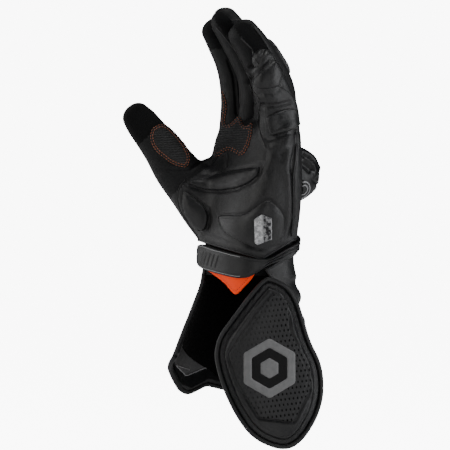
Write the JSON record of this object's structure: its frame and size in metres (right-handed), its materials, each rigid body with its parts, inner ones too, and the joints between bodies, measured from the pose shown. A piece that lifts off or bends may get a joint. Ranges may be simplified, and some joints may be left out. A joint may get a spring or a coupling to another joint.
{
  "type": "motorcycle glove",
  "caption": "Left-hand leather road racing glove with an open gauntlet cuff, armoured fingers, hard knuckle guard, palm slider and a hanging closure flap.",
  "frame": {"origin": "centre of the wrist, where the hand goes in", "axes": "+Z towards the fingertips, +X to the back of the hand, +Y to the thumb side"},
  "size_m": [0.1206, 0.1439, 0.3411],
  "materials": {
    "leather": "satin smooth black cowhide",
    "suede": "matt black suede",
    "grip": "ribbed grip leather",
    "rubber": "matt moulded rubber",
    "hard": "glossy moulded shell",
    "metal": "satin, textured",
    "orange": "matt orange",
    "grey": "matt grey print",
    "textile": "matt stretch and loop textile"
  },
  "bodies": {
    "root": {"hand_shell": "leather", "index_stall": "leather", "index_tip": "suede", "middle_stall": "leather", "ring_stall": "leather", "little_stall": "leather", "thumb_stall": "leather", "thumb_tip": "suede", "palm_bar_pad": "leather", "thenar_pad": "leather", "slider_pad": "leather", "palm_patch": "grip", "thumb_patch": "grip", "little_pad_upper": "leather", "little_pad_lower": "leather", "side_seam": "leather", "slider_insert": "metal", "index_pad": "leather", "middle_pad": "leather", "ring_pad": "leather", "knuckle_guard": "hard", "guard_badge": "rubber", "wrist_band": "textile", "wrist_strap": "rubber", "strap_tab": "orange", "cuff_shell": "leather", "cuff_edge_binding": "rubber", "cuff_hem_binding": "rubber", "cuff_facing": "leather", "loop_lining": "textile", "flap_piping": "rubber", "closure_flap": "leather", "flap_pad": "leather", "flap_panel": "rubber", "flap_emblem_ring": "grey", "flap_emblem_core": "grey"}
  },
  "joints": []
}
